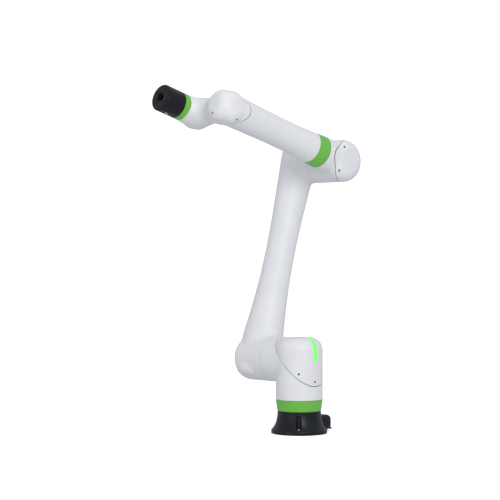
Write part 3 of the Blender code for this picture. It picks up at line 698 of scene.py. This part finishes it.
def build_upper_arm():
    """The long tapering housing with a barrel at each end, and a cap over each barrel."""
    waist = [(-0.070, 0.0715), (0.030, 0.0715), (0.080, 0.0700), (0.127, 0.0650), (0.208, 0.0580), (0.280, 0.0535),
             (0.390, 0.0515), (0.500, 0.0535), (0.610, 0.0585), (0.710, 0.0630), (0.790, 0.0640)]
    tube_at = place(ROOT, ALONG_ARM, Y)
    tube = barrel(tube_at, waist, 0.350, -0.0700, 0.0300)
    upper_tube = barrel(tube_at, waist, 0.348, UPPER_ARM + 0.0710, 0.0400)
    tube = joined(tube, upper_tube, 0.0)
    low_barrel = barrel(place(ROOT, Y, X), [(0, 0.0775)], 0.094, -0.0620, 0.0340)
    high_barrel = barrel(place(HEAD, Y, X), [(-0.060, 0.0625), (0.005, 0.0630), (0.060, 0.0730), (0.130, 0.0730)],
                         0.125, -0.0400, 0.0340)
    field = joined(joined(tube, low_barrel, 0.026), high_barrel, 0.026)
    surface = skin(field, (-0.285, -0.277, 0.160), (0.090, -0.068, 1.020), STEP)
    middle = ROOT + 0.35 * ALONG_ARM
    mouths = [((0, -0.1154, 0), Y, middle, ALONG_ARM), ((0, -0.0856, 0), Y, middle, -ALONG_ARM)]
    low_spot, low_out = ROOT - 0.0500 * Y - 0.0500 * ALONG_ARM, (-Y - ALONG_ARM).normalized()
    high_spot, high_out = HEAD - 0.0170 * Y + 0.0170 * ALONG_ARM, (-Y + ALONG_ARM).normalized()
    low_gap, high_gap = SEAM / 2 * low_out, SEAM / 2 * high_out
    casing = housing("upper_arm_casing_fine", field, surface,
                     mouths + [(low_spot - low_gap, low_out), (high_spot - high_gap, high_out)])
    low_cap = housing("upper_arm_lower_cap_fine", field, surface, [(low_spot + low_gap, -low_out)],
                      gasket="upper_arm_gasket_low")
    high_cap = housing("upper_arm_upper_cap_fine", field, surface, [(high_spot + high_gap, -high_out)],
                       gasket="upper_arm_gasket_high")
    finish(casing, "upper_arm", WHITE, "white_paint", "upper_arm_casing")
    finish(low_cap, "upper_arm", WHITE, "white_paint", "upper_arm_lower_cap")
    finish(high_cap, "upper_arm", WHITE, "white_paint", "upper_arm_upper_cap")


def on_rounded_end(centre, axis, start, flat, edge, back, turn, lift):
    """A place on a barrel's rounded end, facing outwards. The turn is about the axis, the lift towards its end."""
    side = axis.cross(start)
    radial = math.cos(turn) * start + math.sin(turn) * side
    normal = math.cos(lift) * radial + math.sin(lift) * axis
    return place(centre + back * axis + flat * radial + edge * normal, normal, axis.cross(normal))


def settled_on(field, at):
    """The place moved onto the skin and turned to face straight out of it."""
    spot = onto(field, at[0][None], 6)
    return place(Vector(spot[0]), Vector(slope(field, spot)[0]), Vector(at[1][0]))


def around(field, centre, reach):
    """The skin of everything within reach of a centre."""
    return skin(field, *(tuple(centre[k] + side * reach[k] for k in range(3)) for side in (-1, 1)), STEP)


def build_elbow():
    """The cross barrel, the start of the forearm and the sloping cap."""
    cross = barrel(place(J3, -Y, X), [(0, 0.0730)], 0.097, -0.0590, 0.0380)
    along = barrel(place(J3, ALONG_FOREARM, Y), [(0, 0.0575)], 0.112, -0.0400, 0.0300)
    field = joined(cross, along, 0.030)
    surface = around(field, J3, (0.124, 0.104, 0.110))
    spot, out = J3 + 0.0190 * Y, (-0.5 * ALONG_FOREARM + Y).normalized()
    ends = [((0, -0.0845, 0), -Y), (J3 + 0.0985 * ALONG_FOREARM, ALONG_FOREARM)]
    casing = housing("elbow_casing_fine", field, surface, ends + [(spot - SEAM / 2 * out, out)],
                     gasket="elbow_gasket")
    cap = housing("elbow_cap_fine", field, surface, [(spot + SEAM / 2 * out, -out)])
    holes = []
    for number, (turn, lift) in enumerate(((46, 62), (144, 50))):
        at = on_rounded_end(J3, Y, ABOVE, 0.035, 0.038, 0.0210, math.radians(turn), math.radians(lift))
        node = f"elbow_screw_{number + 1}"
        holes.append(screw_at(node + "_fine", "elbow", settled_on(field, at), node))
    cut_out(cap, holes)
    finish(casing, "elbow", WHITE, "white_paint", "elbow_casing")
    finish(cap, "elbow", WHITE, "white_paint", "elbow_cap")


def build_forearm():
    """The fourth joint's ring, the tapering housing and the cap over its far end."""
    axis = place(J3, ALONG_FOREARM, ALONG_J5)
    ring = [(0.0493, 0.1001, 0.0004), (0.0560, 0.1001, 0.0008), (0.0565, 0.1070, 0.0030), (0.0540, 0.1479, 0.0006),
            (0.0493, 0.1479, 0.0004)]
    finish(lathe("j4_green_ring_fine", ring, axis, 160), "forearm", GREEN, "green_ring", "j4_green_ring")
    outline = [(0.100, 0.0560), (0.1483, 0.0540), (0.220, 0.0508), (0.320, 0.0498), (0.430, 0.0518), (0.530, 0.0540),
               (0.620, 0.0540)]
    tube = barrel(axis, outline, 0.136, FOREARM + 0.0560, 0.0340)
    neck = [(-0.080, 0.0545), (0.010, 0.0545), (0.026, 0.0530), (0.042, 0.0490), (0.056, 0.0440), (0.0675, 0.0425),
            (0.090, 0.0425)]
    cross = barrel(place(J5, -ALONG_J5, ALONG_FOREARM), neck, 0.080, -0.0550, 0.0360)
    field = joined(tube, cross, 0.026)
    surface = skin(field, (-0.088, -0.088, 0.905), (0.400, 0.066, 1.160), STEP)
    spot, out = J5 + 0.0080 * ALONG_J5, (0.593 * ALONG_FOREARM + 0.805 * ALONG_J5).normalized()
    ends = [(J3 + 0.1483 * ALONG_FOREARM, -ALONG_FOREARM), (J5 - 0.0675 * ALONG_J5, -ALONG_J5)]
    casing = housing("forearm_casing_fine", field, surface, ends + [(spot - SEAM / 2 * out, out)],
                     gasket="forearm_gasket")
    cap = housing("forearm_cap_fine", field, surface, [(spot + SEAM / 2 * out, -out)])
    front = on_rounded_end(J5, ALONG_FOREARM, -ABOVE_J5, 0.0200, 0.034, 0.0220, math.radians(-6), math.radians(62))
    under = on_rounded_end(J5, ALONG_J5, -ABOVE_J5, 0.0185, 0.036, 0.0190, math.radians(18), math.radians(46))
    holes = []
    for number, at in enumerate((front, under)):
        node = f"forearm_screw_{number + 1}"
        holes.append(screw_at(node + "_fine", "forearm", settled_on(field, at), node))
    cut_out(cap, holes)
    finish(casing, "forearm", WHITE, "white_paint", "forearm_casing")
    finish(cap, "forearm", WHITE, "white_paint", "forearm_cap")


def build_wrist():
    """Two crossing barrels with a cap, and the sixth joint's ring."""
    along = place(WRIST, ALONG_FOREARM, ALONG_J5)
    neck = [(-0.080, 0.0500), (0.025, 0.0500), (0.045, 0.0480), (0.064, 0.0440), (0.0815, 0.0430), (0.110, 0.0430)]
    cross = barrel(place(WRIST, ALONG_J5, ALONG_FOREARM), neck, 0.094, -0.0490, 0.0380)
    nose = [(-0.080, 0.0500), (0.015, 0.0500), (0.040, 0.0475), (0.0647, 0.0452), (0.090, 0.0452)]
    straight = barrel(along, nose, 0.077, -0.0500, 0.0380)
    field = joined(cross, straight, 0.026)
    surface = skin(field, (0.262, -0.215, 1.000), (0.424, -0.046, 1.150), STEP)
    out = (-ALONG_J5 - ALONG_FOREARM).normalized()
    spot = WRIST - 0.0080 * (ALONG_J5 + ALONG_FOREARM)
    ends = [(WRIST + 0.0815 * ALONG_J5, ALONG_J5), (WRIST + 0.0645 * ALONG_FOREARM, ALONG_FOREARM)]
    casing = housing("wrist_casing_fine", field, surface, ends + [(spot - SEAM / 2 * out, out)],
                     gasket="wrist_gasket")
    cap = housing("wrist_cap_fine", field, surface, [(spot + SEAM / 2 * out, -out)])
    finish(casing, "wrist", WHITE, "white_paint", "wrist_casing")
    finish(cap, "wrist", WHITE, "white_paint", "wrist_cap")
    ring = [(0.0402, 0.0651, 0.0004), (0.0452, 0.0651, 0.0006), (0.0452, 0.0855, 0.0006), (0.0402, 0.0855, 0.0004)]
    finish(lathe("j6_green_ring_fine", ring, along, 144), "wrist", GREEN, "green_ring", "j6_green_ring")


def screw_holes(along, face):
    """Cutters for the four screw holes in the tool's face, with chamfered mouths."""
    holes = []
    for number in range(4):
        angle = math.pi / 4 + number * math.pi / 2
        spot = (SCREW_CIRCLE * math.cos(angle), SCREW_CIRCLE * math.sin(angle), face)
        origin = along[0] + along[1].T @ np.array(spot)
        at = place(Vector(origin), ALONG_FOREARM, ALONG_J5)
        holes.append(lathe("hole", [(0, -0.0110, 0), (0.0029, -0.0110, 0), (0.0029, -0.0007, 0), (0.0040, 0.0004, 0),
                                    (0.0040, 0.01, 0), (0, 0.01, 0)], at, 40))
    return holes


def build_tool():
    """The black housing with its side port, and the flange ring."""
    along = place(WRIST, ALONG_FOREARM, ALONG_J5)
    face = TOOL_REACH
    seat_at = face - FLANGE_THICKNESS
    shell = [(0.0402, 0.0875, 0.0004), (FLANGE_RADIUS, 0.0875, 0.0006), (FLANGE_RADIUS, 0.1020, 0.0004),
             (0.0446, 0.1024, 0.0002), (0.0446, 0.1032, 0.0002), (FLANGE_RADIUS, 0.1036, 0.0004),
             (FLANGE_RADIUS, seat_at, 0.0005), (0.0100, seat_at, 0.0003), (0.0100, face - 0.0140, 0.0003),
             (0.0402, face - 0.0140, 0.0010)]
    port = place(WRIST + 0.1250 * ALONG_FOREARM - FLANGE_RADIUS * ABOVE_J5, -ABOVE_J5, ALONG_J5)
    opening = lathe("port", [(0, -0.0200, 0), (0.0072, -0.0200, 0), (0.0072, -0.0006, 0), (0.0082, 0.0008, 0),
                             (0.0082, 0.01, 0), (0, 0.01, 0)], port, 64)
    housed = cut_out(lathe("tool_housing_fine", shell, along, 144), [opening] + screw_holes(along, face))
    finish(housed, "tool", BLACK, "black_paint", "tool_housing")
    ring = [(0.0158, seat_at + 0.0004, 0.0003), (FLANGE_RADIUS, seat_at + 0.0004, 0.0005),
            (FLANGE_RADIUS, face - 0.0040, 0.0015), (0.0434, face - 0.0016, 0.0018), (0.0390, face, 0.0016),
            (0.0158, face, 0.0006)]
    flange = cut_out(lathe("tool_flange_fine", ring, along, 144), screw_holes(along, face))
    finish(flange, "tool", BLACK, "black_paint", "tool_flange")
    plug = [(0.0045, -0.0070, 0.0003), (0.0069, -0.0070, 0.0003), (0.0069, 0.0008, 0.0004), (0.0062, 0.0015, 0.0003),
            (0.0045, 0.0015, 0.0005)]
    finish(lathe("tool_port_fine", plug, port, 64), "tool", STEEL, "bolt_steel", "tool_port")
    core = [(0, -0.0068, 0), (0.0043, -0.0068, 0), (0.0043, -0.0030, 0.0004), (0, -0.0030, 0)]
    finish(lathe("tool_port_core", core, port, 48), "tool", JACKET, "cable_jacket")
    for pin in range(6):
        angle = 2 * math.pi * pin / 6
        spot = Vector(port[0] + port[1].T @ np.array((0.0025 * math.cos(angle), 0.0025 * math.sin(angle), -0.0031)))
        pin_outline = [(0, 0, 0), (0.0004, 0, 0), (0.0004, 0.0022, 0.0003), (0, 0.0026, 0)]
        needle = lathe(f"tool_port_pin_{pin + 1}", pin_outline, place(spot, -ABOVE_J5, ALONG_J5), 12)
        finish(needle, "tool", STEEL, "bolt_steel")


def build_seals():
    """The dark shaft seals that show in the running gaps between the housings."""
    seals = [
        ("base", UPRIGHT, 0.0725, 0.0742, 0.0762),
        ("shoulder", place(J2, -Y, X), 0.0766, 0.1143, 0.1153),
        ("upper_arm", place(J3, -Y, X), 0.0700, 0.0847, 0.0854),
        ("elbow", place(J3, ALONG_FOREARM, Y), 0.0553, 0.0986, 0.0998),
        ("forearm", place(J5, -ALONG_J5, ALONG_FOREARM), 0.0415, 0.0677, 0.0683),
        ("wrist", place(WRIST, ALONG_FOREARM, ALONG_J5), 0.0440, 0.0857, 0.0872),
    ]
    for body, at, radius, low, high in seals:
        inner = radius - 0.0060
        corners = [(inner, low, 0), (radius, low, 0.0002), (radius, high, 0.0002), (inner, high, 0)]
        finish(lathe(f"{body}_seal", corners, at, 128), body, JACKET, "cable_jacket")


def surface_inner_nodes():
    """The drives and wiring inside keep their frame shapes and get detailed surfaces."""
    kinds = {"reducer": STEEL, "rotor": DARK, "output": ALUMINIUM, "stator": COPPER, "harness": JACKET}
    for name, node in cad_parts.items():
        for kind, surface in kinds.items():
            if name.endswith(kind):
                node.data.materials.clear()
                node.data.materials.append(surface)


# ---- floor, light and camera ----

VIEW_TURN = math.radians(46)
TOWARDS = Vector((math.cos(VIEW_TURN), math.sin(VIEW_TURN), 0))
RIGHT = Vector((-TOWARDS.y, TOWARDS.x, 0))
CAMERA_DISTANCE = 5.41
CAMERA_HEIGHT = 0.6176
LENS = 114.7
BACKDROP = -2.2       # where the floor starts to curve up, from the arm towards the camera
BACKDROP_BEND = 1.6


def aimed(thing, spot, target):
    """Points a light or the camera at a target."""
    thing.location = spot
    thing.rotation_euler = (Vector(target) - Vector(spot)).to_track_quat("-Z", "Y").to_euler()


def build_stage():
    """A pale floor that curves up into a backdrop behind the arm."""
    made = bmesh.new()
    rows = []
    bend = [(BACKDROP - BACKDROP_BEND * math.sin(a), BACKDROP_BEND - BACKDROP_BEND * math.cos(a))
            for a in np.linspace(0, math.pi / 2, 24)]
    outline = [(6.0, 0.0)] + bend + [(BACKDROP - BACKDROP_BEND, 6.0)]
    for reach, height in outline:
        rows.append([made.verts.new(TOWARDS * reach + RIGHT * side + Z * (height - 0.0005)) for side in (-7, 7)])
    for low, high in zip(rows, rows[1:]):
        made.faces.new((low[0], low[1], high[1], high[0]))
    mesh = bpy.data.meshes.new("floor")
    made.to_mesh(mesh)
    made.free()
    mesh.shade_smooth()
    floor = bpy.data.objects.new("floor", mesh)
    bpy.context.collection.objects.link(floor)
    mesh.materials.append(look("floor_plain", (0.93, 0.93, 0.93), 0.80, patch=0.01, patch_size=2.0, grain=300.0,
                               glow=0.60))
    floor.visible_diffuse = False
    floor.visible_glossy = False


def build_lights():
    """Three soft lights, each with its place to the right, front and above, its size and its power."""
    for name, side, front, height, size, power in (
            ("key", 1.3, 4.8, 2.4, 2.2, 118), ("fill", -3.0, 3.4, 0.4, 2.4, 22),
            ("top", 0.0, 0.4, 3.4, 2.4, 8)):
        data = bpy.data.lights.new(name, "AREA")
        data.size = size
        data.energy = power
        light = bpy.data.objects.new(name, data)
        bpy.context.collection.objects.link(light)
        aimed(light, TOWARDS * front + RIGHT * side + Z * height, (0, 0, 0.6))
    world = bpy.data.worlds.new("studio")
    world.use_nodes = True
    world.node_tree.nodes["Background"].inputs["Color"].default_value = (0.94, 0.96, 1.0, 1)
    world.node_tree.nodes["Background"].inputs["Strength"].default_value = 0.62
    bpy.context.scene.world = world
    bpy.context.scene.view_settings.view_transform = "Standard"


def build_camera():
    """The camera, level with the arm's middle and turned a little to its side."""
    data = bpy.data.cameras.new("camera")
    data.sensor_width = 36.0
    data.lens = LENS
    camera = bpy.data.objects.new("camera", data)
    bpy.context.collection.objects.link(camera)
    yaw, pitch = math.radians(1.77), math.radians(0.03)
    forward = -TOWARDS * math.cos(yaw) - RIGHT * math.sin(yaw) + Z * math.sin(pitch)
    spot = TOWARDS * CAMERA_DISTANCE + CAMERA_HEIGHT * Z
    aimed(camera, spot, spot + forward)
    bpy.context.scene.camera = camera


build_base()
build_connector()
build_shoulder()
build_upper_arm()
build_elbow()
build_forearm()
build_wrist()
build_tool()
build_seals()
surface_inner_nodes()
build_stage()
build_lights()
build_camera()
bpy.context.view_layer.update()
